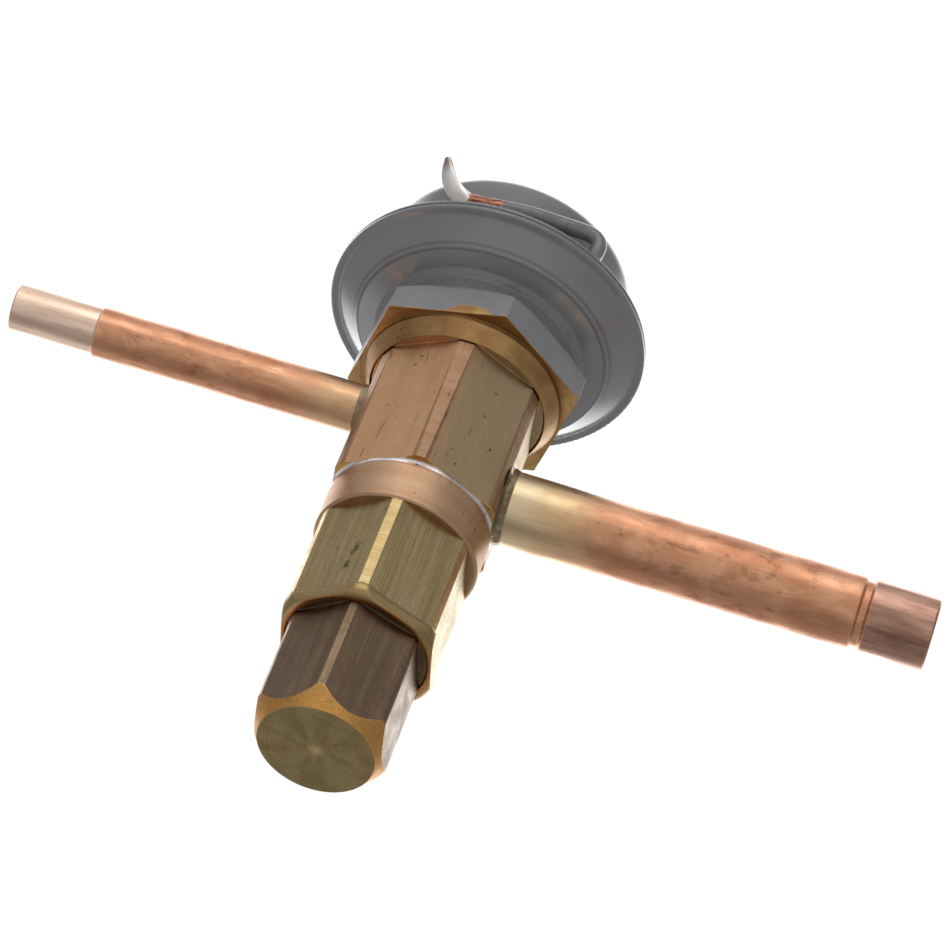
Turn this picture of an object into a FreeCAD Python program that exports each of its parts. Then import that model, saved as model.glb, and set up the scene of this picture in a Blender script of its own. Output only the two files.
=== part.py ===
import FreeCAD, Part
import math
import os
import re
import Sketcher

# Pressure regulating valve with brazed copper tubes, a domed diaphragm element on top and an
# adjusting spring under a hexagon seal cap. Millimetres, +Z towards the dome, +X towards the
# outlet. The origin is the centre of the seal cap's flat end face.
doc = FreeCAD.newDocument("regulating_valve")
os.makedirs("parts", exist_ok=True)

# Driving dimensions
SIZES = {
    "fit_gap": 0.05,
    "running_gap": 0.1,
    "press_gap": 0.01,
    "cap_flats": 24.54,
    "cap_flats_angle": -6.9,
    "cap_turned_radius": 13.8,
    "cap_face_radius": 11.4,
    "cap_chamfer_height": 4.16,
    "cap_flats_top": 25.75,
    "cap_top": 27.2,
    "cap_top_chamfer": 0.5,
    "cap_floor": 3.5,
    "cap_cavity_radius": 8.4,
    "cap_thread_bottom": 11,
    "cap_thread_radius": 9.5,
    "cap_gasket_thickness": 0.8,
    "cap_gasket_inner": 9.9,
    "cap_gasket_outer": 13.2,
    "rim_low": 25.45,
    "rim_bore_radius": 13.95,
    "rim_lip_radius": 14.05,
    "flange_flats": 29.3,
    "flange_corner_radius": 16.3,
    "flange_cone_top": 25.6,
    "flange_round": 1.9,
    "flange_top": 28.5,
    "flange_scallop_middle": 27.8,
    "flat_half_width": 8.6,
    "housing_flats": 28.575,
    "housing_flats_angle": -4.4,
    "housing_turned_radius": 15.97,
    "housing_top": 51.27,
    "nipple_bottom": 12,
    "nipple_radius": 9.4,
    "packing_bore_radius": 5.5,
    "packing_bore_top": 24,
    "spring_bore_radius": 10.5,
    "spring_bore_floor": 33,
    "spigot_radius": 13,
    "spigot_top": 59.5,
    "key_slot_width": 3.4,
    "key_slot_radius": 11.7,
    "stem_radius": 3.8,
    "stem_bottom": 6,
    "stem_square_top": 11.5,
    "stem_square": 5.6,
    "stem_shoulder_radius": 6,
    "stem_shoulder_top": 35.5,
    "stem_thread_radius": 4,
    "stem_thread_top": 52,
    "stem_tip_radius": 3.4,
    "gland_top": 16.5,
    "gland_slot_width": 1.4,
    "gland_slot_depth": 1.2,
    "follower_top": 18,
    "guide_bottom": 36,
    "guide_hub_radius": 6.4,
    "guide_plate_bottom": 38.5,
    "guide_plate_radius": 10.1,
    "spring_seat_low": 41,
    "guide_top": 44,
    "guide_key_width": 3,
    "guide_key_radius": 11.4,
    "spring_wire_radius": 1,
    "spring_coil_radius": 8.2,
    "spring_pitch": 4,
    "carrier_bottom": 60.5,
    "carrier_hub_radius": 6.6,
    "spring_seat_high": 64,
    "carrier_plate_radius": 9.6,
    "carrier_plate_top": 66.5,
    "carrier_boss_radius": 4.2,
    "carrier_boss_top": 72,
    "pin_bottom": 67.5,
    "pin_radius": 2.4,
    "pin_shank_top": 75.6,
    "pin_head_bottom": 76.3,
    "pin_head_radius": 3.9,
    "pin_cone_bottom": 77.4,
    "pin_cone_top_radius": 3,
    "pin_cone_top": 78.2,
    "pin_nose_radius": 1.2,
    "pin_nose_top": 80,
    "seat_bottom": 77.5,
    "seat_top": 81,
    "seat_radius": 6,
    "seat_bore_radius": 3.2,
    "seat_chamfer_radius": 3.95,
    "seat_chamfer_top": 78.15,
    "rod_radius": 1.2,
    "rod_circle_radius": 8.2,
    "rod_top": 112,
    "housing_gasket_inner": 10.6,
    "housing_gasket_outer": 12.9,
    "housing_gasket_thickness": 0.7,
    "collar_bottom": 51.27,
    "collar_top": 61.17,
    "collar_radius": 16.3,
    "collar_chamfer": 0.4,
    "body_flats": 31.75,
    "body_corner_low_radius": 17.85,
    "body_corner_high_radius": 17.5,
    "body_corner_chamfer_top": 61.45,
    "body_flats_top": 94.25,
    "body_hex_top": 96,
    "body_neck_radius": 15,
    "body_top": 103.2,
    "outlet_chamber_radius": 10.2,
    "inlet_chamber_radius": 5,
    "inlet_chamber_top": 89.5,
    "equalizer_radius": 0.8,
    "outlet_height": 71.42,
    "outlet_radius": 7.155,
    "outlet_bore_radius": 6.2,
    "outlet_port_radius": 5.9,
    "outlet_socket_bore_radius": 6.4,
    "outlet_socket_stop": 86.8,
    "outlet_length": 101.9,
    "outlet_socket_depth": 4.4,
    "outlet_groove_start": 86.9,
    "outlet_groove_width": 2.3,
    "outlet_groove_depth": 0.6,
    "outlet_swell": 0.22,
    "outlet_swell_end": 24,
    "outlet_swell_run": 42,
    "tube_end_chamfer": 0.25,
    "inlet_height": 85.05,
    "inlet_radius": 4.93,
    "inlet_bore_radius": 4.1,
    "inlet_port_radius": 4,
    "inlet_sized_radius": 4.7625,
    "inlet_sized_start": 70.7,
    "inlet_length": 88,
    "inlet_socket_depth": 4.4,
    "braze_height": 1.3,
    "braze_run": 1.7,
    "braze_waist": 0.45,
    "nut_flats": 41.275,
    "nut_flats_angle": 14.4,
    "nut_turned_radius": 23.75,
    "nut_bottom": 98.08,
    "nut_top": 104.95,
    "nut_top_chamfer_height": 1.15,
    "nut_top_chamfer_radius": 21.4,
    "skirt_bottom": 93.94,
    "skirt_lip_radius": 17.9,
    "skirt_bore_radius": 17.75,
    "skirt_bore_top": 96.5,
    "skirt_top_radius": 20,
    "skirt_top": 97.55,
    "nut_web_radius": 11.5,
    "nut_web_bottom": 104,
    "element_gasket_inner": 10,
    "element_gasket_outer": 14.6,
    "case_thickness": 0.8,
    "lower_neck_inner_radius": 19.2,
    "lower_neck_radius": 20,
    "lower_neck_bottom": 105.8,
    "lower_neck_top": 108.9,
    "lower_pan_inner_radius": 21.4,
    "lower_pan_inner_height": 109.9,
    "pan_outer_inset": 6.84,
    "lower_pan_outer_height": 110.9,
    "crease_inset": 5.94,
    "lower_crease_height": 111.75,
    "band_inset": 1.84,
    "lower_round": 0.7,
    "sheet_lean": 0.7,
    "rim_plane": 116.43,
    "rim_radius": 32.24,
    "clamp_inset": 1.44,
    "diaphragm_thickness": 0.3,
    "diaphragm_inset": 0.34,
    "diaphragm_plate_radius": 18,
    "diaphragm_wave_radius": 22,
    "diaphragm_wave_height": 115.9,
    "dip_inset": 6.24,
    "diaphragm_dip_height": 115.6,
    "buffer_radius": 17.4,
    "buffer_top": 114.6,
    "step_inset": 1.94,
    "upper_step_height": 118.2,
    "cup_radius": 25.3,
    "cup_height": 17.3,
    "cup_shoulder": 6,
    "cup_foot": 1.2,
    "rim_round": 0.3,
    "tube_radius": 1.6,
    "tube_bore_radius": 0.8,
    "stub_inset": 2.29,
    "stub_way_x": 0.5948,
    "stub_way_y": -0.8039,
    "stub_sink": 0.5,
}

sheet = doc.addObject("Spreadsheet::Sheet", "Sizes")
for row, (name, value) in enumerate(SIZES.items(), start=1):
    sheet.set(f"A{row}", name)
    sheet.set(f"B{row}", str(value))
    sheet.setAlias(f"B{row}", name)
doc.recompute()


PIECES = {}
UP = FreeCAD.Vector(0, 0, 1)


def formula(text):
    """Turn size names into references to the sheet."""
    return re.sub(r"[a-z_]+", lambda match: f"Sizes.{match[0]}", text)


def number(text):
    """Work out a formula from the starting sizes."""
    words = re.sub(r"[a-z_]+", lambda match: f"({SIZES[match[0]]})", text)
    return FreeCAD.Units.parseQuantity(words).Value


def origin_item(body, role):
    """Give one of a body's own origin planes or axes."""
    return next(item for item in body.Origin.OriginFeatures if item.Role == role)


def sketch_on(body, name, role):
    """Start a sketch on an origin plane of the body."""
    sketch = body.newObject("Sketcher::SketchObject", name)
    sketch.AttachmentSupport = [(origin_item(body, role), "")]
    sketch.MapMode = "FlatFace"
    return sketch


def hold(sketch, kind, element, point, value, text):
    """Hold one coordinate of a sketch point by a formula."""
    index = sketch.addConstraint(Sketcher.Constraint(kind, -1, 1, element, point, value))
    sketch.setExpression(f"Constraints[{index}]", formula(text))


def hold_radius(sketch, element, text):
    """Hold the radius of a circle or arc by a formula."""
    index = sketch.addConstraint(Sketcher.Constraint("Radius", element, number(text)))
    sketch.setExpression(f"Constraints[{index}]", formula(text))


def outline(sketch, points):
    """Draw a closed outline whose corners are held by formulas."""
    spots = [FreeCAD.Vector(number(across), number(along), 0) for across, along in points]
    for start, end in zip(spots, spots[1:] + spots[:1]):
        sketch.addGeometry(Part.LineSegment(start, end))
    for line in range(len(points)):
        following = (line + 1) % len(points)
        sketch.addConstraint(Sketcher.Constraint("Coincident", line, 2, following, 1))
    for line, (across, along) in enumerate(points):
        hold(sketch, "DistanceX", line, 1, spots[line].x, across)
        hold(sketch, "DistanceY", line, 1, spots[line].y, along)


def turned(name, points, axis="V_Axis"):
    """Turn a half section (radius, height); a tube's section is (length, radius)."""
    body = doc.addObject("PartDesign::Body", name)
    body.Label = name
    PIECES[name] = body
    sketch = sketch_on(body, f"{name}_section", "XZ_Plane")
    outline(sketch, points)
    turn = body.newObject("PartDesign::Revolution", f"{name}_turn")
    turn.Profile = sketch
    turn.ReferenceAxis = (sketch, [axis])
    turn.Angle = 360
    body.Tip = turn
    doc.recompute()
    return body


def cut_away(body, name, sketch, length, outward):
    """Pocket a sketch along its normal and check that the cut took metal away."""
    before = body.Tip.Shape.Volume
    cut = body.newObject("PartDesign::Pocket", name)
    cut.Profile = sketch
    cut.Reversed = outward
    cut.setExpression("Length", formula(length))
    body.Tip = cut
    doc.recompute()
    if cut.Shape.isNull() or cut.Shape.Volume >= before:
        raise RuntimeError(f"{name} cut nothing")
    return cut


def repeat_round(body, feature, count):
    """Repeat a cut round the valve axis."""
    ring = body.newObject("PartDesign::PolarPattern", f"{feature.Name}_ring")
    ring.Originals = [feature]
    ring.Axis = (origin_item(body, "Z_Axis"), [""])
    ring.Angle = 360
    ring.Occurrences = count
    body.Tip = ring
    doc.recompute()


def place_sketch(sketch, height, turn_angle=None):
    """Lift a sketch to a height and turn it about the valve axis."""
    if turn_angle:
        sketch.AttachmentOffset = FreeCAD.Placement(FreeCAD.Vector(), FreeCAD.Rotation(UP, number(turn_angle)))
        sketch.setExpression("AttachmentOffset.Rotation.Angle", formula(turn_angle))
    sketch.setExpression("AttachmentOffset.Base.z", formula(height))


def block_cut(body, name, points, low, high, turn_angle=None, count=1):
    """Cut an outline from one height up to another, repeated round the axis."""
    sketch = sketch_on(body, f"{name}_outline", "XY_Plane")
    place_sketch(sketch, low, turn_angle)
    outline(sketch, points)
    cut = cut_away(body, name, sketch, f"{high} - ({low})", True)
    if count > 1:
        repeat_round(body, cut, count)


def flats(body, name, across, low, high, turn_angle=None, count=6):
    """Mill flats round the axis at a size across the flats."""
    points = [
        (f"{across} / 2", "-collar_radius"),
        (f"{across} / 2 + collar_radius", "-collar_radius"),
        (f"{across} / 2 + collar_radius", "collar_radius"),
        (f"{across} / 2", "collar_radius"),
    ]
    block_cut(body, name, points, low, high, turn_angle, count)


def circle_cut(body, name, role, centre, radius, start, length, outward):
    """Bore a round hole from a plane parallel to an origin plane."""
    sketch = sketch_on(body, f"{name}_circle", role)
    place_sketch(sketch, start)
    spot = FreeCAD.Vector(number(centre[0]), number(centre[1]), 0)
    sketch.addGeometry(Part.Circle(spot, UP, number(radius)))
    hold(sketch, "DistanceX", 0, 3, spot.x, centre[0])
    hold(sketch, "DistanceY", 0, 3, spot.y, centre[1])
    hold_radius(sketch, 0, radius)
    cut_away(body, name, sketch, length, outward)


def upright_hole(body, name, radius, across, along, low, high):
    """Bore a round hole parallel to the valve axis."""
    circle_cut(body, name, "XY_Plane", (across, along), radius, low, f"{high} - ({low})", True)


def side_hole(body, name, radius, height, start, end, outlet_side):
    """Bore a round hole along X, out to the outlet side or the inlet side."""
    plane_place = start if outlet_side else f"-({start})"
    circle_cut(body, name, "YZ_Plane", ("0", height), radius, plane_place, f"{end} - ({start})", outlet_side)


def round_edges(body, name, edges, radius, match=0.01):
    """Round the circular edges given as (radius, height)."""
    wanted = [(number(across), number(height)) for across, height in edges]
    found = []
    for index, edge in enumerate(body.Tip.Shape.Edges, start=1):
        if isinstance(edge.Curve, Part.Circle) and any(
            abs(edge.Curve.Radius - across) < match and abs(edge.Curve.Center.z - height) < match
            for across, height in wanted
        ):
            found.append(f"Edge{index}")
    if len(found) < len(wanted):
        raise RuntimeError(f"{name} found {len(found)} edges of {len(wanted)}")
    base = body.Tip
    fillet = body.newObject("PartDesign::Fillet", name)
    fillet.Base = (base, found)
    fillet.setExpression("Radius", formula(radius))
    body.Tip = fillet
    doc.recompute()


# Seal cap: a hexagon cup whose closed end is chamfered to a round face. Its mouth is a round shoulder.
cap = turned("seal_cap", [
    ("0", "0"),
    ("cap_face_radius", "0"),
    ("cap_turned_radius", "cap_chamfer_height"),
    ("cap_turned_radius", "cap_top - cap_top_chamfer"),
    ("cap_turned_radius - cap_top_chamfer", "cap_top"),
    ("cap_thread_radius", "cap_top"),
    ("cap_thread_radius", "cap_thread_bottom"),
    ("cap_cavity_radius", "cap_thread_bottom"),
    ("cap_cavity_radius", "cap_floor"),
    ("0", "cap_floor"),
])
flats(cap, "cap_hexagon", "cap_flats", "0", "cap_flats_top", "cap_flats_angle")

# Flat gasket that rides in the mouth of the seal cap
turned("cap_gasket", [
    ("cap_gasket_inner", "cap_top"),
    ("cap_gasket_outer", "cap_top"),
    ("cap_gasket_outer", "cap_top + cap_gasket_thickness"),
    ("cap_gasket_inner", "cap_top + cap_gasket_thickness"),
])

# Spring housing: flanged hexagon with the cap's nipple below and a threaded spigot above
housing = turned("spring_housing", [
    ("packing_bore_radius", "nipple_bottom"),
    ("nipple_radius", "nipple_bottom"),
    ("nipple_radius", "cap_top + cap_gasket_thickness"),
    ("rim_bore_radius", "cap_top + cap_gasket_thickness"),
    ("rim_bore_radius", "rim_low"),
    ("rim_lip_radius", "rim_low"),
    ("flange_corner_radius", "flange_cone_top"),
    ("flange_corner_radius", "flange_top"),
    ("housing_turned_radius", "flange_top"),
    ("housing_turned_radius", "housing_top"),
    ("spigot_radius", "housing_top"),
    ("spigot_radius", "spigot_top"),
    ("spring_bore_radius", "spigot_top"),
    ("spring_bore_radius", "spring_bore_floor"),
    ("stem_radius + running_gap", "spring_bore_floor"),
    ("stem_radius + running_gap", "packing_bore_top"),
    ("packing_bore_radius", "packing_bore_top"),
])
round_edges(housing, "flange_low_round", [("flange_corner_radius", "flange_cone_top")], "flange_round")
flats(housing, "flange_hexagon", "flange_flats", "rim_low", "flange_top", "housing_flats_angle")

# The housing's six flats each run out in an arc just above the flange
housing_side = sketch_on(housing, "housing_flat_outline", "YZ_Plane")
housing_side.AttachmentOffset = FreeCAD.Placement(
    FreeCAD.Vector(0, 0, number("housing_flats / 2")),
    FreeCAD.Rotation(FreeCAD.Vector(0, 1, 0), number("housing_flats_angle")),
)
housing_side.setExpression("AttachmentOffset.Rotation.Angle", formula("housing_flats_angle"))
side_distance = formula("housing_flats / 2")
side_angle = formula("housing_flats_angle")
housing_side.setExpression("AttachmentOffset.Base.x", f"{side_distance} * sin({side_angle} * 1 deg)")
housing_side.setExpression("AttachmentOffset.Base.z", f"{side_distance} * cos({side_angle} * 1 deg)")
corners = [
    ("-flat_half_width", "flange_top"),
    ("flat_half_width", "flange_top"),
    ("flat_half_width", "housing_top"),
    ("-flat_half_width", "housing_top"),
]
spots = [FreeCAD.Vector(number(across), number(along), 0) for across, along in corners]
middle = FreeCAD.Vector(0, number("flange_scallop_middle"), 0)
housing_side.addGeometry(Part.Arc(spots[0], middle, spots[1]))
for start, end in ((1, 2), (2, 3), (3, 0)):
    housing_side.addGeometry(Part.LineSegment(spots[start], spots[end]))
for element in range(4):
    following = (element + 1) % 4
    housing_side.addConstraint(Sketcher.Constraint("Coincident", element, 2, following, 1))
for element, (across, along) in enumerate(corners):
    hold(housing_side, "DistanceX", element, 1, spots[element].x, across)
    hold(housing_side, "DistanceY", element, 1, spots[element].y, along)
drop = "(flange_top - flange_scallop_middle)"
hold_radius(housing_side, 0, f"(flat_half_width * flat_half_width + {drop} * {drop}) / (2 * {drop})")
housing_flat = cut_away(housing, "housing_flat", housing_side, "collar_radius", True)
repeat_round(housing, housing_flat, 6)

# Slot in the spring bore that stops the spring guide from turning
block_cut(housing, "key_slot", [
    ("spring_bore_radius - key_slot_width", "-key_slot_width / 2"),
    ("key_slot_radius", "-key_slot_width / 2"),
    ("key_slot_radius", "key_slot_width / 2"),
    ("spring_bore_radius - key_slot_width", "key_slot_width / 2"),
], "spring_bore_floor", "spigot_top")

# Adjusting stem: square end under the cap, thrust shoulder, and the thread for the guide
stem = turned("adjusting_stem", [
    ("0", "stem_bottom"),
    ("stem_radius", "stem_bottom"),
    ("stem_radius", "spring_bore_floor"),
    ("stem_shoulder_radius", "spring_bore_floor"),
    ("stem_shoulder_radius", "stem_shoulder_top"),
    ("stem_thread_radius", "stem_shoulder_top"),
    ("stem_thread_radius", "stem_thread_top"),
    ("stem_tip_radius", "stem_thread_top + stem_thread_radius - stem_tip_radius"),
    ("0", "stem_thread_top + stem_thread_radius - stem_tip_radius"),
])
flats(stem, "stem_square_end", "stem_square", "stem_bottom", "stem_square_top", count=4)

# Packing set in the nipple: soft packing, follower and slotted gland nut
turned("stem_packing", [
    ("stem_radius + fit_gap", "follower_top"),
    ("packing_bore_radius - press_gap", "follower_top"),
    ("packing_bore_radius - press_gap", "packing_bore_top"),
    ("stem_radius + fit_gap", "packing_bore_top"),
])
turned("packing_follower", [
    ("stem_radius + running_gap", "gland_top"),
    ("packing_bore_radius - fit_gap", "gland_top"),
    ("packing_bore_radius - fit_gap", "follower_top"),
    ("stem_radius + running_gap", "follower_top"),
])
gland = turned("packing_gland", [
    ("stem_radius + running_gap", "nipple_bottom"),
    ("packing_bore_radius - press_gap", "nipple_bottom"),
    ("packing_bore_radius - press_gap", "gland_top"),
    ("stem_radius + running_gap", "gland_top"),
])
block_cut(gland, "gland_slot", [
    ("-packing_bore_radius", "-gland_slot_width / 2"),
    ("packing_bore_radius", "-gland_slot_width / 2"),
    ("packing_bore_radius", "gland_slot_width / 2"),
    ("-packing_bore_radius", "gland_slot_width / 2"),
], "nipple_bottom", "nipple_bottom + gland_slot_depth")

# Spring guide: a nut on the stem with a plate for the spring and a key in the housing's slot
guide = turned("spring_guide", [
    ("stem_thread_radius + fit_gap", "guide_bottom"),
    ("guide_hub_radius", "guide_bottom"),
    ("guide_hub_radius", "guide_plate_bottom"),
    ("guide_plate_radius", "guide_plate_bottom"),
    ("guide_plate_radius", "spring_seat_low"),
    ("guide_hub_radius", "spring_seat_low"),
    ("guide_hub_radius", "guide_top"),
    ("stem_thread_radius + fit_gap", "guide_top"),
])
key_sketch = sketch_on(guide, "guide_key_outline", "XY_Plane")
place_sketch(key_sketch, "guide_plate_bottom")
outline(key_sketch, [
    ("guide_hub_radius", "-guide_key_width / 2"),
    ("guide_key_radius", "-guide_key_width / 2"),
    ("guide_key_radius", "guide_key_width / 2"),
    ("guide_hub_radius", "guide_key_width / 2"),
])
guide_key = guide.newObject("PartDesign::Pad", "guide_key")
guide_key.Profile = key_sketch
guide_key.setExpression("Length", formula("spring_seat_low - guide_plate_bottom"))
guide.Tip = guide_key
doc.recompute()

# Adjusting spring: a helix swept by its wire, between the guide and the pin carrier
helix = doc.addObject("Part::Helix", "spring_path")
helix.setExpression("Pitch", formula("spring_pitch"))
helix.setExpression("Height", formula("spring_seat_high - spring_seat_low - 2 * spring_wire_radius"))
helix.setExpression("Radius", formula("spring_coil_radius"))
helix.setExpression("Placement.Base.z", formula("spring_seat_low + spring_wire_radius"))
wire = doc.addObject("Part::Circle", "spring_wire")
wire.setExpression("Radius", formula("spring_wire_radius"))
wire.Placement = FreeCAD.Placement(FreeCAD.Vector(), FreeCAD.Rotation(FreeCAD.Vector(1, 0, 0), 90))
wire.setExpression("Placement.Base.x", formula("spring_coil_radius"))
wire.setExpression("Placement.Base.z", formula("spring_seat_low + spring_wire_radius"))
coil = doc.addObject("Part::Sweep", "adjusting_spring")
coil.Sections = [wire]
coil.Spine = (helix, ["Edge1"])
coil.Solid = True
coil.Frenet = True
PIECES["adjusting_spring"] = coil
doc.recompute()

# Pin carrier: plate on the spring, with the bored boss that holds the valve pin
turned("pin_carrier", [
    ("0", "carrier_bottom"),
    ("carrier_hub_radius", "carrier_bottom"),
    ("carrier_hub_radius", "spring_seat_high"),
    ("carrier_plate_radius", "spring_seat_high"),
    ("carrier_plate_radius", "carrier_plate_top"),
    ("carrier_boss_radius", "carrier_plate_top"),
    ("carrier_boss_radius", "carrier_boss_top"),
    ("pin_radius + press_gap", "carrier_boss_top"),
    ("pin_radius + press_gap", "pin_bottom"),
    ("0", "pin_bottom"),
])
turned("valve_pin", [
    ("0", "pin_bottom"),
    ("pin_radius", "pin_bottom"),
    ("pin_radius", "pin_shank_top"),
    ("pin_head_radius", "pin_head_bottom"),
    ("pin_head_radius", "pin_cone_bottom"),
    ("pin_cone_top_radius", "pin_cone_top"),
    ("pin_nose_radius", "pin_nose_top"),
    ("0", "pin_nose_top"),
])

# Port ring pressed into the valve body
turned("valve_seat", [
    ("seat_chamfer_radius", "seat_bottom"),
    ("seat_radius - press_gap", "seat_bottom"),
    ("seat_radius - press_gap", "seat_top"),
    ("seat_bore_radius", "seat_top"),
    ("seat_bore_radius", "seat_chamfer_top"),
])

# Two push rods carry the diaphragm's motion past the port to the pin carrier
for name, side in (("push_rod_front", "-"), ("push_rod_back", "")):
    rod = turned(name, [
        ("0", "carrier_plate_top"),
        ("rod_radius", "carrier_plate_top"),
        ("rod_radius", "rod_top"),
        ("0", "rod_top"),
    ])
    rod.setExpression("Placement.Base.y", formula(f"{side}rod_circle_radius"))
turned("buffer_plate", [
    ("0", "rod_top"),
    ("buffer_radius", "rod_top"),
    ("buffer_radius", "buffer_top"),
    ("0", "buffer_top"),
])

# Valve body: hexagon on a turned collar, outlet chamber below the port and inlet chamber above
valve = turned("valve_body", [
    ("spigot_radius + fit_gap", "collar_bottom"),
    ("collar_radius - collar_chamfer", "collar_bottom"),
    ("collar_radius", "collar_bottom + collar_chamfer"),
    ("collar_radius", "collar_top"),
    ("body_corner_low_radius", "body_corner_chamfer_top"),
    ("body_corner_high_radius", "body_hex_top"),
    ("body_neck_radius", "body_hex_top"),
    ("body_neck_radius", "body_top"),
    ("0", "body_top"),
    ("0", "inlet_chamber_top"),
    ("inlet_chamber_radius", "inlet_chamber_top"),
    ("inlet_chamber_radius", "seat_top"),
    ("seat_radius", "seat_top"),
    ("seat_radius", "seat_bottom"),
    ("outlet_chamber_radius", "seat_bottom"),
    ("outlet_chamber_radius", "spigot_top + housing_gasket_thickness"),
    ("spigot_radius + fit_gap", "spigot_top + housing_gasket_thickness"),
])
# The hexagon runs out in a round shoulder inside the nut's skirt
flats(valve, "body_hexagon", "body_flats", "collar_top", "body_flats_top")
body_side = "body_flats / 2"
outlet_socket = f"{body_side} - outlet_socket_depth"
inlet_socket = f"{body_side} - inlet_socket_depth"
outlet_swollen = "outlet_radius + outlet_swell"
side_hole(valve, "outlet_port", "outlet_port_radius", "outlet_height", "0", body_side, True)
side_hole(valve, "outlet_socket", f"{outlet_swollen} + press_gap", "outlet_height", outlet_socket, body_side, True)
side_hole(valve, "inlet_port", "inlet_port_radius", "inlet_height", "0", body_side, False)
side_hole(valve, "inlet_socket", "inlet_radius + press_gap", "inlet_height", inlet_socket, body_side, False)
for name, along in (("rod_hole_front", "-rod_circle_radius"), ("rod_hole_back", "rod_circle_radius")):
    upright_hole(valve, name, "rod_radius + fit_gap", "0", along, "seat_bottom", "body_top")
upright_hole(valve, "equalizer_hole", "equalizer_radius", "rod_circle_radius", "0", "seat_bottom", "body_top")

# Gasket rings at both ends of the valve body
turned("housing_gasket", [
    ("housing_gasket_inner", "spigot_top"),
    ("housing_gasket_outer", "spigot_top"),
    ("housing_gasket_outer", "spigot_top + housing_gasket_thickness"),
    ("housing_gasket_inner", "spigot_top + housing_gasket_thickness"),
])
turned("element_gasket", [
    ("element_gasket_inner", "body_top"),
    ("element_gasket_outer", "body_top"),
    ("element_gasket_outer", "nut_web_bottom"),
    ("element_gasket_inner", "nut_web_bottom"),
])

# Outlet tube: swollen where it is brazed in, with a rolled stop groove and a sized socket end
groove_end = "outlet_groove_start + outlet_groove_width"
groove_in = "outlet_groove_start + outlet_groove_width / 4"
groove_out = "outlet_groove_start + outlet_groove_width * 3 / 4"
outlet = turned("outlet_tube", [
    (outlet_socket, "outlet_bore_radius"),
    (outlet_socket, outlet_swollen),
    ("outlet_swell_end", outlet_swollen),
    ("outlet_swell_run", "outlet_radius"),
    ("outlet_groove_start", "outlet_radius"),
    (groove_in, "outlet_radius - outlet_groove_depth"),
    (groove_out, "outlet_radius - outlet_groove_depth"),
    (groove_end, "outlet_radius"),
    ("outlet_length - tube_end_chamfer", "outlet_radius"),
    ("outlet_length", "outlet_radius - tube_end_chamfer"),
    ("outlet_length", "outlet_socket_bore_radius + tube_end_chamfer"),
    ("outlet_length - tube_end_chamfer", "outlet_socket_bore_radius"),
    (groove_end, "outlet_socket_bore_radius"),
    (groove_out, "outlet_socket_bore_radius - outlet_groove_depth"),
    (groove_in, "outlet_socket_bore_radius - outlet_groove_depth"),
    ("outlet_groove_start", "outlet_bore_radius"),
], "H_Axis")
outlet.setExpression("Placement.Base.z", formula("outlet_height"))

# Inlet tube: plain tube with a slightly smaller sized end
inlet = turned("inlet_tube", [
    (f"-({inlet_socket})", "inlet_bore_radius"),
    (f"-({inlet_socket})", "inlet_radius"),
    ("-inlet_sized_start", "inlet_radius"),
    ("-inlet_sized_start - tube_end_chamfer", "inlet_sized_radius"),
    ("-inlet_length + tube_end_chamfer", "inlet_sized_radius"),
    ("-inlet_length", "inlet_sized_radius - tube_end_chamfer"),
    ("-inlet_length", "inlet_bore_radius + tube_end_chamfer"),
    ("-inlet_length + tube_end_chamfer", "inlet_bore_radius"),
], "H_Axis")
inlet.setExpression("Placement.Base.z", formula("inlet_height"))

# Braze fillets where the tubes enter the body's flats
for name, size, height, sign in (
    ("outlet_braze", outlet_swollen, "outlet_height", ""),
    ("inlet_braze", "inlet_radius", "inlet_height", "-"),
):
    braze = turned(name, [
        (f"{sign}({body_side})", size),
        (f"{sign}({body_side})", f"{size} + braze_height"),
        (f"{sign}({body_side} + braze_waist)", f"{size} + braze_waist"),
        (f"{sign}({body_side} + braze_run)", size),
    ], "H_Axis")
    braze.setExpression("Placement.Base.z", formula(height))

# Element nut: hexagon with a turned skirt below and a web that the diaphragm case stands on
nut = turned("element_nut", [
    ("skirt_bore_radius", "skirt_bottom"),
    ("skirt_lip_radius", "skirt_bottom"),
    ("skirt_top_radius", "skirt_top"),
    ("skirt_top_radius", "nut_bottom"),
    ("nut_turned_radius", "nut_bottom"),
    ("nut_turned_radius", "nut_top - nut_top_chamfer_height"),
    ("nut_top_chamfer_radius", "nut_top"),
    ("nut_web_radius", "nut_top"),
    ("nut_web_radius", "nut_web_bottom"),
    ("body_neck_radius + fit_gap", "nut_web_bottom"),
    ("body_neck_radius + fit_gap", "skirt_bore_top"),
    ("skirt_bore_radius", "skirt_bore_top"),
])
flats(nut, "nut_hexagon", "nut_flats", "nut_bottom", "nut_top", "nut_flats_angle")

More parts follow.
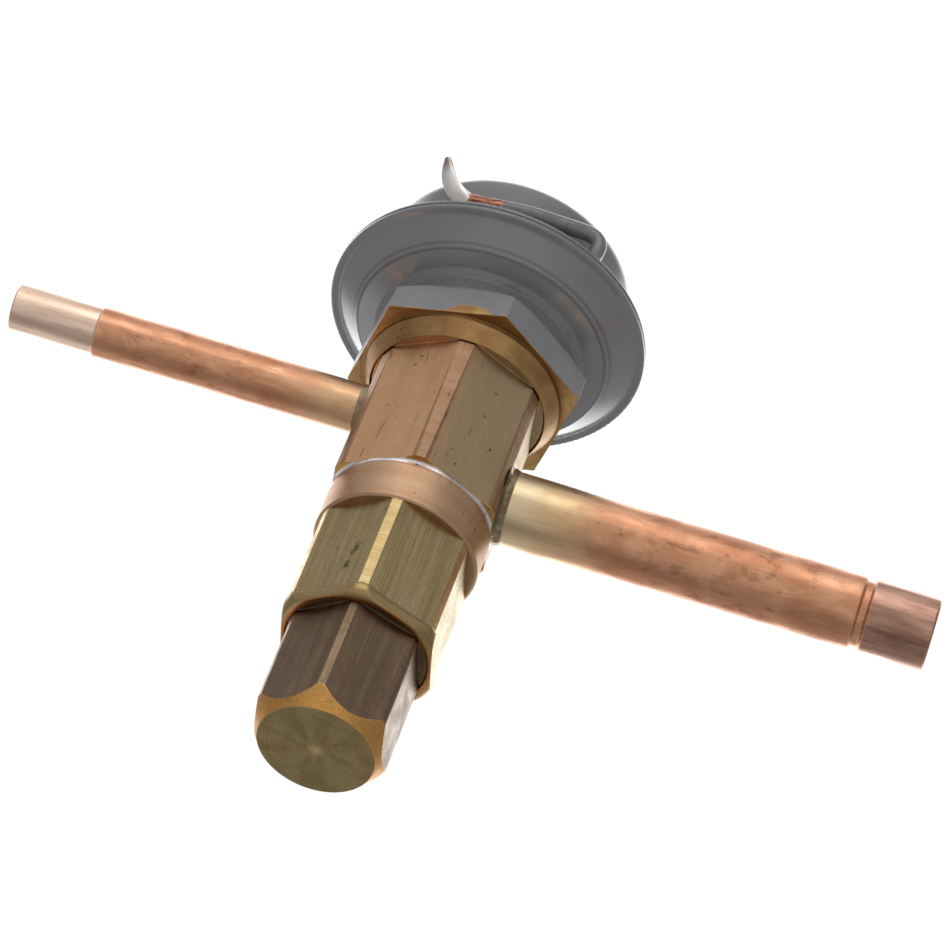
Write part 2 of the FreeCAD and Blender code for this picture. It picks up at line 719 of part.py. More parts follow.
# Lower diaphragm case: pressed sheet from the nut out to the clamped rim
lower_rim = "rim_plane - diaphragm_thickness / 2"
lean = "case_thickness * sheet_lean"
lower_case = turned("lower_case", [
    ("nut_web_radius", "nut_top"),
    ("lower_neck_inner_radius", "nut_top"),
    ("lower_neck_radius", "lower_neck_bottom"),
    ("lower_neck_radius", "lower_neck_top"),
    ("lower_pan_inner_radius", "lower_pan_inner_height"),
    ("rim_radius - pan_outer_inset", "lower_pan_outer_height"),
    ("rim_radius - crease_inset", "lower_crease_height"),
    ("rim_radius - band_inset", f"{lower_rim} - case_thickness"),
    ("rim_radius", f"{lower_rim} - case_thickness"),
    ("rim_radius", lower_rim),
    (f"rim_radius - band_inset - {lean} / 2", lower_rim),
    (f"rim_radius - crease_inset - {lean}", f"lower_crease_height + {lean}"),
    (f"rim_radius - pan_outer_inset - {lean} / 2", "lower_pan_outer_height + case_thickness"),
    (f"lower_pan_inner_radius - {lean} / 2", "lower_pan_inner_height + case_thickness"),
    ("lower_neck_radius - case_thickness", f"lower_neck_top + {lean} / 2"),
    ("lower_neck_radius - case_thickness", f"lower_neck_bottom + {lean} / 2"),
    (f"lower_neck_inner_radius - {lean} / 2", "nut_top + case_thickness"),
    ("nut_web_radius", "nut_top + case_thickness"),
])
round_edges(lower_case, "lower_case_round", [
    ("rim_radius - pan_outer_inset", "lower_pan_outer_height"),
    ("rim_radius - crease_inset", "lower_crease_height"),
    ("rim_radius - band_inset", f"{lower_rim} - case_thickness"),
    ("lower_pan_inner_radius", "lower_pan_inner_height"),
], "lower_round")
round_edges(lower_case, "lower_rim_round", [("rim_radius", f"{lower_rim} - case_thickness")], "rim_round")

# Diaphragm: thin waved disc clamped between the two halves of the case
turned("diaphragm", [
    ("0", "buffer_top"),
    ("diaphragm_plate_radius", "buffer_top"),
    ("diaphragm_wave_radius", "diaphragm_wave_height"),
    ("rim_radius - dip_inset", "diaphragm_dip_height"),
    (f"rim_radius - band_inset - {lean} / 2", lower_rim),
    ("rim_radius - diaphragm_inset", lower_rim),
    ("rim_radius - diaphragm_inset", f"{lower_rim} + diaphragm_thickness"),
    (f"rim_radius - band_inset - {lean} / 2", f"{lower_rim} + diaphragm_thickness"),
    ("rim_radius - dip_inset", "diaphragm_dip_height + diaphragm_thickness"),
    ("diaphragm_wave_radius", "diaphragm_wave_height + diaphragm_thickness"),
    ("diaphragm_plate_radius", "buffer_top + diaphragm_thickness"),
    ("0", "buffer_top + diaphragm_thickness"),
])

# Upper diaphragm case: the dome that holds the charge
upper_rim = f"{lower_rim} + diaphragm_thickness"
upper_case = turned("upper_case", [
    ("rim_radius - clamp_inset", upper_rim),
    ("rim_radius", upper_rim),
    ("rim_radius", f"{upper_rim} + case_thickness"),
    (f"rim_radius - clamp_inset + {lean}", f"{upper_rim} + case_thickness"),
    ("rim_radius - step_inset", "upper_step_height"),
    ("cup_radius + cup_foot", "upper_step_height"),
    ("cup_radius", "upper_step_height + cup_foot"),
    ("cup_radius", "upper_step_height + cup_height"),
    ("0", "upper_step_height + cup_height"),
    ("0", "upper_step_height + cup_height - case_thickness"),
    ("cup_radius - case_thickness", "upper_step_height + cup_height - case_thickness"),
    ("cup_radius - case_thickness", f"upper_step_height + cup_foot - {lean}"),
    (f"cup_radius + cup_foot - {lean}", "upper_step_height - case_thickness"),
    (f"rim_radius - step_inset - {lean} / 2", "upper_step_height - case_thickness"),
])
cup_roof = "upper_step_height + cup_height"
round_edges(upper_case, "cup_shoulder_outside", [("cup_radius", cup_roof)], "cup_shoulder")
round_edges(upper_case, "cup_shoulder_inside", [
    ("cup_radius - case_thickness", f"{cup_roof} - case_thickness"),
], "cup_shoulder - case_thickness")
round_edges(upper_case, "upper_rim_round", [("rim_radius", f"{upper_rim} + case_thickness")], "rim_round")
stub_x = "(rim_radius - stub_inset) * stub_way_x"
stub_y = "(rim_radius - stub_inset) * stub_way_y"
stub_low = "upper_step_height - stub_sink"
upright_hole(upper_case, "charging_hole", "tube_radius + press_gap", stub_x, stub_y,
             f"{stub_low} - case_thickness", "upper_step_height + case_thickness")

# Charging tube: stub out of the case, round the dome, then a pinched and curled tail.
# Each row is the distance inside the rim, an angle round the valve and the rise above the
# upper case's step; the tail's rows end with the section's half width and half thickness as
# shares of the tube's radius.
TUBE_RUN = (
    (2.29, -53.5, 3.0),
    (2.24, -54.0, 4.7),
    (2.74, -56.3, 6.0),
    (3.44, -59.8, 6.2),
    (3.94, -64.0, 5.8),
    (4.54, -69.6, 5.4),
    (4.74, -82.4, 4.3),
    (4.94, -95.0, 3.8),
    (4.94, -103.1, 3.9),
    (4.74, -109.1, 4.2),
)
TAIL_RUN = (
    (4.74, -109.1, 4.2, 0.99, 0.97),
    (4.24, -111.7, 4.6, 1.08, 0.6),
    (3.54, -114.4, 5.5, 1.1, 0.36),
    (1.94, -117.5, 7.4, 1.04, 0.32),
    (0.34, -118.7, 10.0, 0.74, 0.32),
    (-0.46, -119.1, 11.6, 0.32, 0.26),
)


def spot_at(inset, angle, rise):
    """Place a point by how far it is inside the rim, its angle and its rise above the step."""
    radius = number("rim_radius") - inset
    turn = math.radians(angle)
    height = number("upper_step_height") + rise
    return FreeCAD.Vector(radius * math.cos(turn), radius * math.sin(turn), height)


def pipe(points, radius):
    """Sweep a round section along a smooth line through the points."""
    curve = Part.BSplineCurve()
    curve.interpolate(points)
    spine = Part.Wire([curve.toShape()])
    forward = curve.tangent(curve.FirstParameter)[0]
    section = Part.Wire([Part.makeCircle(radius, points[0], forward)])
    return spine.makePipeShell([section], True, True)


stub_base = FreeCAD.Vector(number(stub_x), number(stub_y), number(stub_low))
tube_points = [stub_base] + [spot_at(*row) for row in TUBE_RUN]
tube_outside = pipe(tube_points, number("tube_radius"))
tube_inside = pipe(tube_points, number("tube_bore_radius"))
tail_points = [spot_at(*row[:3]) for row in TAIL_RUN]
sections = []
for index, (row, point) in enumerate(zip(TAIL_RUN, tail_points)):
    before = tail_points[max(index - 1, 0)]
    after = tail_points[min(index + 1, len(tail_points) - 1)]
    forward = (after - before).normalize()
    outward = FreeCAD.Vector(point.x, point.y, -point.z / 6).normalize()
    across = forward.cross(outward).normalize()
    through = across.cross(forward).normalize()
    wide = row[3] * number("tube_radius")
    thin = row[4] * number("tube_radius")
    ellipse = Part.Ellipse(point + across * wide, point + through * thin, point)
    sections.append(Part.Wire([ellipse.toShape()]))
tail = Part.makeLoft(sections, True)
charging = doc.addObject("Part::Feature", "charging_tube")
charging.Shape = tube_outside.cut(tube_inside).fuse(tail).removeSplitter()
PIECES["charging_tube"] = charging
doc.recompute()

# Check every object, then write each piece to its own file
for item in doc.Objects:
    if "Invalid" in item.State or "Error" in item.State:
        raise RuntimeError(f"{item.Label} failed: {item.State}")
for name, piece in PIECES.items():
    shape = piece.Shape
    if shape.isNull() or not shape.isValid() or len(shape.Solids) != 1:
        raise RuntimeError(f"{name} has no single valid solid: {len(shape.Solids)} {shape.isValid()}")
    shape.exportStep(f"parts/{name}.step")
    print(f"{name}: {shape.Volume:.1f} cubic mm")
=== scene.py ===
# %% [markdown]
# This file dresses a refrigeration pressure regulating valve. Its brass, copper and sheet steel parts come
# from the construction model in their right shapes, so nearly all of the work is finish: turned, drawn,
# dipped, enamelled and heated metal. One piece is modelled, the adjusting spring, as a wound coil.
# Lengths are metres, z runs along the valve's axis from the cap to the dome, and x along the wide tube.

# %% Load the imported valve
import math
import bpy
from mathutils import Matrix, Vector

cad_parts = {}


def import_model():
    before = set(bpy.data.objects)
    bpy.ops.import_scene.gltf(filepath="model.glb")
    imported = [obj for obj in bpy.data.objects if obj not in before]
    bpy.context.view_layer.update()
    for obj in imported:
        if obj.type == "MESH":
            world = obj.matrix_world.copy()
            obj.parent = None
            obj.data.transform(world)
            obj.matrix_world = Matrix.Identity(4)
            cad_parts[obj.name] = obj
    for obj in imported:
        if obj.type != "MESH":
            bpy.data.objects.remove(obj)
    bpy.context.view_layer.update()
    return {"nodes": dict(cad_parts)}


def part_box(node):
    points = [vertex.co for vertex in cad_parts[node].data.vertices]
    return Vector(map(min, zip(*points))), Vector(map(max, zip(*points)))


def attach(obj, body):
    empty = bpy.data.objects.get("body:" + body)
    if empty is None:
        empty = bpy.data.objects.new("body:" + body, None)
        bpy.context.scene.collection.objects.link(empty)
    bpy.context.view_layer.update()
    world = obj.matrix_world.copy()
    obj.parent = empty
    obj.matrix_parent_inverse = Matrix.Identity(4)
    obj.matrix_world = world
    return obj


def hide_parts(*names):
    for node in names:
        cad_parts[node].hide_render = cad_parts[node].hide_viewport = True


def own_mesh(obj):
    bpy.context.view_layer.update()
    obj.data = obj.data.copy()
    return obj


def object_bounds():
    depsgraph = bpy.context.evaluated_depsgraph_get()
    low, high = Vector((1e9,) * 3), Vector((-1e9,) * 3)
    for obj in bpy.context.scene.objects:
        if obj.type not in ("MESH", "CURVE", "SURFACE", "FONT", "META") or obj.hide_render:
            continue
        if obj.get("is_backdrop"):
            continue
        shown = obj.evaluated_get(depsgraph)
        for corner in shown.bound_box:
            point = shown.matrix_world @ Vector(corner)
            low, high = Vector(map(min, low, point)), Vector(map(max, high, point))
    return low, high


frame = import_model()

import types

import bpy
from mathutils import Matrix, Vector

NODES = frame["nodes"]
print("pieces loaded:", len(NODES))

# %% [markdown]
# Every material below is a network of nodes. The networks share a few habits: each reads the place on the piece
# from Object coordinates and mixes colours by masks. Short helpers keep those networks readable. They could be
# typed out link by link, but one mask would then take a page.

# %% Helpers that make a material and feed its sockets
def new_material(name):
    material = bpy.data.materials.new(name)
    material.use_nodes = True
    tree = material.node_tree
    tree.nodes.clear()
    output = tree.nodes.new("ShaderNodeOutputMaterial")
    surface = tree.nodes.new("ShaderNodeBsdfPrincipled")
    tree.links.new(surface.outputs["BSDF"], output.inputs["Surface"])
    return material, tree, surface


def feed(tree, socket, value):
    """Links a socket to another node's output, or sets it to a plain value."""
    if isinstance(value, bpy.types.NodeSocket):
        tree.links.new(value, socket)
    else:
        socket.default_value = value


def dress(tree, surface, base, rough, normal, metallic=1.0):
    feed(tree, surface.inputs["Base Color"], base)
    feed(tree, surface.inputs["Metallic"], metallic)
    feed(tree, surface.inputs["Roughness"], rough)
    feed(tree, surface.inputs["Normal"], normal)

# %% Helpers that calculate
def maths(tree, operation, first, second=0.0):
    node = tree.nodes.new("ShaderNodeMath")
    node.operation = operation
    feed(tree, node.inputs[0], first)
    feed(tree, node.inputs[1], second)
    return node.outputs[0]


def times(tree, first, second):
    return maths(tree, "MULTIPLY", first, second)


def plus(tree, first, second):
    return maths(tree, "ADD", first, second)


def minus(tree, first, second):
    return maths(tree, "SUBTRACT", first, second)


def away(tree, value, middle):
    """How far a value is from a middle, on either side."""
    return maths(tree, "ABSOLUTE", minus(tree, value, middle))

# %% Helpers that make masks
def between(tree, value, low, high, at_low=0.0, at_high=1.0):
    """Carries a value from one range to another, with a soft start and a soft stop."""
    node = tree.nodes.new("ShaderNodeMapRange")
    node.interpolation_type = "SMOOTHSTEP"
    names = ("Value", "From Min", "From Max", "To Min", "To Max")
    for name, number in zip(names, (value, low, high, at_low, at_high)):
        feed(tree, node.inputs[name], number)
    return node.outputs["Result"]


def past(tree, value, border, softness):
    """1 where a value is past a border and 0 before it. The change is as wide as the softness."""
    return between(tree, value, border - softness / 2, border + softness / 2)


def before(tree, value, border, softness):
    return between(tree, value, border - softness / 2, border + softness / 2, 1.0, 0.0)

# %% Helpers for colours
def colour(red, green, blue):
    """A colour as a screen shows it, 0 to 255, turned into the even steps of light that shaders use."""
    def straight(level):
        level = level / 255
        return level / 12.92 if level <= 0.04045 else ((level + 0.055) / 1.055) ** 2.4
    return (straight(red), straight(green), straight(blue), 1.0)


def mixed(tree, share, first, second):
    node = tree.nodes.new("ShaderNodeMix")
    node.data_type = "RGBA"
    for socket, value in zip((node.inputs[0], node.inputs[6], node.inputs[7]), (share, first, second)):
        feed(tree, socket, value)
    return node.outputs[2]


def stained(tree, base, mask, strength, stain):
    """Lays a second colour over the base where the mask is bright."""
    return mixed(tree, times(tree, mask, strength), base, stain)

# %% Helpers for places and patterns
NOISE_ROUGHNESS = 0.55


def noise(tree, vector, scale, detail=3.0):
    node = tree.nodes.new("ShaderNodeTexNoise")
    feed(tree, node.inputs["Vector"], vector)
    node.inputs["Scale"].default_value = scale
    node.inputs["Detail"].default_value = detail
    node.inputs["Roughness"].default_value = NOISE_ROUGHNESS
    return node.outputs["Fac"]


def vector_of(tree, x, y, z):
    node = tree.nodes.new("ShaderNodeCombineXYZ")
    for socket, value in zip(node.inputs, (x, y, z)):
        feed(tree, socket, value)
    return node.outputs[0]


def place(tree):
    """A point's place: its vector, its x, y and z, its distance from the valve's axis and its turn."""
    vector = tree.nodes.new("ShaderNodeTexCoord").outputs["Object"]
    parts = tree.nodes.new("ShaderNodeSeparateXYZ")
    tree.links.new(vector, parts.inputs[0])
    x, y, z = parts.outputs
    reach = maths(tree, "SQRT", plus(tree, times(tree, x, x), times(tree, y, y)))
    turn = maths(tree, "ARCTAN2", y, x)
    return types.SimpleNamespace(vector=vector, x=x, y=y, z=z, reach=reach, turn=turn)


def along_axis(tree, at, stretch):
    """Places for lines that run along the valve's axis, as on drawn bar."""
    return vector_of(tree, at.x, at.y, times(tree, at.z, stretch))


def round_axis(tree, at, stretch=0.0004):
    """Places for lines that run round the valve's axis, as a lathe leaves them."""
    return vector_of(tree, at.reach, at.z, times(tree, at.turn, stretch))


def bump(tree, height, depth, strength, under=None):
    node = tree.nodes.new("ShaderNodeBump")
    node.inputs["Strength"].default_value = strength
    node.inputs["Distance"].default_value = depth
    feed(tree, node.inputs["Height"], height)
    if under is not None:
        tree.links.new(under, node.inputs["Normal"])
    return node.outputs[0]

# %% [markdown]
# Wear, tool lines and blotches appear on many of the parts, so each is a shader node group, built once. A group
# has named inputs for its size, and every material places it with its own values.

# %% Helpers for shared groups
def group(name, inputs, outputs):
    tree = bpy.data.node_groups.new(name, "ShaderNodeTree")
    for title, kind, value in inputs:
        socket = tree.interface.new_socket(title, in_out="INPUT", socket_type=kind)
        if value is not None:
            socket.default_value = value
    for title, kind in outputs:
        tree.interface.new_socket(title, in_out="OUTPUT", socket_type=kind)
    return tree, tree.nodes.new("NodeGroupInput").outputs, tree.nodes.new("NodeGroupOutput").inputs


def group_noise(tree, vector, scale, detail, roughness=0.5, distortion=0.0):
    """Noise whose place and scale come from the group's own inputs."""
    node = tree.nodes.new("ShaderNodeTexNoise")
    tree.links.new(vector, node.inputs["Vector"])
    tree.links.new(scale, node.inputs["Scale"])
    node.inputs["Detail"].default_value = detail
    node.inputs["Roughness"].default_value = roughness
    node.inputs["Distortion"].default_value = distortion
    return node.outputs["Fac"]


def placed(tree, shared, **values):
    """Puts a shared group into a material with its own values."""
    node = tree.nodes.new("ShaderNodeGroup")
    node.node_tree = shared
    for name, value in values.items():
        feed(tree, node.inputs[name], value)
    return node.outputs

# %% [markdown]
# Brass that was cut by a tool shows its edges before anything else: they are a little rounded, cleaner and
# brighter than the faces. A bevel could be modelled on each edge, but the metal's wear varies along it, so a
# mask is made instead. It compares the true direction of the surface with one that is averaged over a short
# distance: they differ only near an edge. Noise then makes the worn width uneven. On the enamel the same mask
# paints a highlight on the edges.

# %% Shared effect: worn edges and edge highlights
EDGE, edge_in, edge_out = group(
    "worn edges and edge highlights",
    [("Width", "NodeSocketFloat", 0.0004), ("Unevenness", "NodeSocketFloat", 900.0)],
    [("Mask", "NodeSocketFloat"), ("Normal", "NodeSocketVector")])
rounded = EDGE.nodes.new("ShaderNodeBevel")
rounded.samples = 6
EDGE.links.new(edge_in["Width"], rounded.inputs["Radius"])
true_direction = EDGE.nodes.new("ShaderNodeNewGeometry").outputs["Normal"]
facing = EDGE.nodes.new("ShaderNodeVectorMath")
facing.operation = "DOT_PRODUCT"
EDGE.links.new(rounded.outputs[0], facing.inputs[0])
EDGE.links.new(true_direction, facing.inputs[1])
turned_away = minus(EDGE, 1.0, facing.outputs["Value"])
piece_place = EDGE.nodes.new("ShaderNodeTexCoord").outputs["Object"]
uneven = group_noise(EDGE, piece_place, edge_in["Unevenness"], 2.0)
rubbed = times(EDGE, turned_away, between(EDGE, uneven, 0.3, 0.7, 0.4, 1.6))
EDGE.links.new(past(EDGE, rubbed, 0.05, 0.08), edge_out["Mask"])
EDGE.links.new(rounded.outputs[0], edge_out["Normal"])
print("shared effect:", EDGE.name)

# %% [markdown]
# A bar that was drawn through a die carries fine lines along its length, and a face that was turned on a lathe
# carries rings. Both are one effect: noise that is squeezed in one direction. The group takes the squeezed
# place from the material, so the same group makes lines along the hexagons, rings on the cap's end and lines
# round a skirt. It puts out broad streaks for colour and fine ones for the bump.

# %% Shared effect: tool lines
BROAD_SHARE = 0.3
LINES, lines_in, lines_out = group(
    "tool lines",
    [("Place", "NodeSocketVector", None), ("Fineness", "NodeSocketFloat", 1500.0)],
    [("Streaks", "NodeSocketFloat"), ("Fine", "NodeSocketFloat")])
broad_scale = times(LINES, lines_in["Fineness"], BROAD_SHARE)
broad = group_noise(LINES, lines_in["Place"], broad_scale, 4.0, 0.6)
fine = group_noise(LINES, lines_in["Place"], lines_in["Fineness"], 3.0, 0.7)
LINES.links.new(past(LINES, broad, 0.5, 0.44), lines_out["Streaks"])
LINES.links.new(past(LINES, fine, 0.5, 0.5), lines_out["Fine"])
print("shared effect:", LINES.name)

# %% [markdown]
# Handled brass and copper go cloudy: fingers, flux and heat leave blotches with soft borders, and knocks leave
# small dark specks. The third group holds both, each from its own noise with a threshold.

# %% Shared effect: blotches and specks
BLOTS, blots_in, blots_out = group(
    "blotches and specks",
    [
        ("Place", "NodeSocketVector", None),
        ("Size", "NodeSocketFloat", 120.0),
        ("Specks", "NodeSocketFloat", 900.0),
    ],
    [("Blotches", "NodeSocketFloat"), ("Specks", "NodeSocketFloat")])
cloud = group_noise(BLOTS, blots_in["Place"], blots_in["Size"], 4.0, 0.6, 0.5)
dots = group_noise(BLOTS, blots_in["Place"], blots_in["Specks"], 2.0)
BLOTS.links.new(past(BLOTS, cloud, 0.5, 0.3), blots_out["Blotches"])
BLOTS.links.new(past(BLOTS, dots, 0.72, 0.08), blots_out["Specks"])
print("shared effect:", BLOTS.name)

# %% [markdown]
# The seal cap is drawn hexagon bar with a turned end. Its flats are the darkest metal of the valve, a stained
# brown-olive, the chamfer that was turned across the corners is fresh and golden, and the flat end shows the
# rings of the facing tool with a small swirl at their centre. The end also carries a fan of darker sectors, a
# painted reflection, and a light centre, a painted highlight. The three regions differ in place, so masks
# made from z and from the distance to the axis tell them apart.

# %% Seal cap: colours of its end face
CAP_FACE_RADIUS = 0.0114
CAP_CHAMFER_SLOPE = 1.72
CAP_SHOULDER = 0.0253


def cap_face_colour(tree, at, turned, blots):
    x_share = maths(tree, "DIVIDE", at.x, at.reach)
    y_share = maths(tree, "DIVIDE", at.y, at.reach)
    # Painted reflection: the fan darkens some sectors of the end face and leaves the others light.
    painted_reflection_fan = noise(tree, vector_of(tree, x_share, y_share, times(tree, at.reach, 90.0)), 2.2)
    face = mixed(tree, turned["Fine"], colour(152, 134, 94), colour(136, 118, 81))
    face = stained(tree, face, past(tree, painted_reflection_fan, 0.52, 0.28), 0.5, colour(108, 90, 58))
    # Painted highlight: the centre of the end face is painted light.
    face = stained(tree, face, before(tree, at.reach, 0.00115, 0.0021), 0.45, colour(214, 190, 136))
    return stained(tree, face, blots["Blotches"], 0.15, colour(150, 122, 70))

# %% Seal cap brass
def cap_brass():
    material, tree, surface = new_material("seal cap brass")
    at = place(tree)
    on_end = times(tree, before(tree, at.z, 0.00006, 0.00012), before(tree, at.reach, CAP_FACE_RADIUS, 0.0004))
    chamfer_height = times(tree, minus(tree, at.reach, CAP_FACE_RADIUS), CAP_CHAMFER_SLOPE)
    on_chamfer = past(tree, minus(tree, chamfer_height, at.z), -0.00008, 0.0002)
    drawn = placed(tree, LINES, Place=along_axis(tree, at, 0.03), Fineness=2200.0)
    turned = placed(tree, LINES, Place=round_axis(tree, at), Fineness=2600.0)
    blots = placed(tree, BLOTS, Place=at.vector, Size=170.0, Specks=1100.0)
    edge = placed(tree, EDGE, Width=0.00035, Unevenness=1200.0)
    flat = mixed(tree, drawn["Streaks"], colour(118, 99, 79), colour(145, 123, 96))
    flat = stained(tree, flat, blots["Blotches"], 0.55, colour(114, 92, 80))
    grit = past(tree, noise(tree, at.vector, 2600.0), 0.5, 0.4)
    base = mixed(tree, on_chamfer, flat, mixed(tree, grit, colour(226, 172, 96), colour(204, 150, 82)))
    base = mixed(tree, on_end, base, cap_face_colour(tree, at, turned, blots))
    worn = times(tree, edge["Mask"], before(tree, at.z, CAP_SHOULDER, 0.0006))
    base = stained(tree, base, worn, 0.6, colour(236, 204, 140))
    base = stained(tree, base, blots["Specks"], 0.7, colour(66, 50, 38))
    rough = plus(tree, 0.32, times(tree, blots["Blotches"], 0.12))
    rough = plus(tree, rough, times(tree, on_chamfer, 0.12))
    rough = minus(tree, rough, times(tree, edge["Mask"], 0.08))
    lines = mixed(tree, maths(tree, "MAXIMUM", on_end, on_chamfer), drawn["Fine"], turned["Fine"])
    spiral = plus(tree, times(tree, at.reach, 1500.0), at.turn)
    swirl = noise(tree, vector_of(tree, spiral, 0.0, 0.0), 1.0, 2.0)
    height = plus(tree, lines, times(tree, swirl, times(tree, on_end, 1.5)))
    dress(tree, surface, base, rough, bump(tree, height, 0.00002, 0.8, edge["Normal"]))
    return material


CAP_BRASS = cap_brass()
print("finish made:", CAP_BRASS.name)

# %% [markdown]
# The spring housing is hexagon bar as well, an olive brass with lengthwise lines. Its corners were turned down
# to a cylinder, so each corner is a narrow light strip. The flange at its lower end is more golden, and its
# rim, where the cap goes in, has an orange-brown line. One flat has a long dark smudge.

# %% Spring housing: where its regions and its smudge lie
HOUSING_CORNER_REACH = 0.01593
FLANGE_TOP = 0.0284
RIM_TOP = 0.02575
RIM_REACH = 0.0147
SMUDGE_X = -0.0092
SMUDGE_LEAN = 0.1
SMUDGE_HEIGHT = 0.0365
FRONT_Y = -0.0115


def housing_smudge(tree, at):
    lean = minus(tree, at.x, times(tree, at.z, SMUDGE_LEAN))
    smudge = before(tree, away(tree, lean, SMUDGE_X), 0.0006, 0.0008)
    smudge = times(tree, smudge, before(tree, at.y, FRONT_Y, 0.0010))
    smudge = times(tree, smudge, before(tree, away(tree, at.z, SMUDGE_HEIGHT), 0.00375, 0.0025))
    return times(tree, smudge, past(tree, noise(tree, at.vector, 520.0), 0.5, 0.2))

# %% Spring housing brass
def housing_brass():
    material, tree, surface = new_material("spring housing brass")
    at = place(tree)
    corner = past(tree, at.reach, HOUSING_CORNER_REACH, 0.00006)
    low_end = before(tree, at.z, FLANGE_TOP, 0.0008)
    rim = times(tree, before(tree, at.z, RIM_TOP, 0.0003), before(tree, at.reach, RIM_REACH, 0.0004))
    drawn = placed(tree, LINES, Place=along_axis(tree, at, 0.025), Fineness=3200.0)
    turned = placed(tree, LINES, Place=round_axis(tree, at), Fineness=2600.0)
    blots = placed(tree, BLOTS, Place=at.vector, Size=130.0, Specks=950.0)
    edge_width = plus(tree, 0.00025, times(tree, low_end, 0.0008))
    edge = placed(tree, EDGE, Width=edge_width, Unevenness=1000.0)
    flat = mixed(tree, drawn["Streaks"], colour(155, 138, 97), colour(188, 170, 128))
    flat = stained(tree, flat, blots["Blotches"], 0.35, colour(164, 137, 92))
    strip = mixed(tree, turned["Streaks"], colour(206, 182, 134), colour(190, 160, 108))
    gold = mixed(tree, turned["Streaks"], colour(182, 156, 112), colour(157, 133, 89))
    base = mixed(tree, low_end, mixed(tree, corner, flat, strip), gold)
    base = stained(tree, base, rim, 0.8, colour(196, 118, 58))
    base = stained(tree, base, housing_smudge(tree, at), 0.85, colour(58, 46, 34))
    worn = times(tree, edge["Mask"], minus(tree, 0.55, times(tree, low_end, 0.45)))
    base = mixed(tree, worn, base, colour(242, 216, 156))
    base = stained(tree, base, blots["Specks"], 0.7, colour(62, 48, 34))
    rough = plus(tree, 0.27, times(tree, blots["Blotches"], 0.12))
    lines = mixed(tree, maths(tree, "MAXIMUM", corner, low_end), drawn["Fine"], turned["Fine"])
    dress(tree, surface, base, rough, bump(tree, lines, 0.00003, 0.8, edge["Normal"]))
    return material


HOUSING_BRASS = housing_brass()
print("finish made:", HOUSING_BRASS.name)

# %% [markdown]
# The valve body was dipped in acid after its tubes were brazed in, which leaves brass pinkish tan and satin.
# The corners of its hexagon are turned, its collar is smoother and ends in a polished line painted near white, a
# painted highlight, and the chamfers at the collar's corners are gold. The flats carry scratches and specks, the
# torch stained them round the wide tube's port, and on the wide tube's side they are painted greyer, a painted
# shade.

# %% Valve body: polished line with its painted highlight, gold corners, torch stain and scratches
BODY_CORNER_REACH = 0.01748
COLLAR_TOP = 0.06105
PAINTED_SHADE_SIDE_X = 0.004
PORT_HEIGHT = 0.0714


def collar_line(tree, at):
    line = times(tree, past(tree, at.z, 0.06055, 0.0003), past(tree, at.reach, 0.0161, 0.0002))
    return times(tree, line, before(tree, at.z, 0.06125, 0.0001))


def cut_corners(tree, at):
    cut = times(tree, past(tree, at.z, 0.06115, 0.0001), before(tree, at.z, 0.061475, 0.00005))
    return times(tree, cut, past(tree, at.reach, 0.01625, 0.0005))


def torch_stain(tree, at):
    up = minus(tree, at.z, PORT_HEIGHT)
    from_port = maths(tree, "SQRT", plus(tree, times(tree, at.y, at.y), times(tree, up, up)))
    return times(tree, before(tree, from_port, 0.01025, 0.0065), past(tree, at.x, 0.009, 0.006))


def long_scratches(tree, at):
    slanted = plus(tree, at.z, times(tree, at.x, 0.4))
    scratch_place = vector_of(tree, at.x, at.y, times(tree, slanted, 0.05))
    lines = before(tree, away(tree, noise(tree, scratch_place, 420.0, 1.0), 0.5), 0.008, 0.016)
    return times(tree, lines, past(tree, noise(tree, at.vector, 150.0, 1.0), 0.595, 0.09))

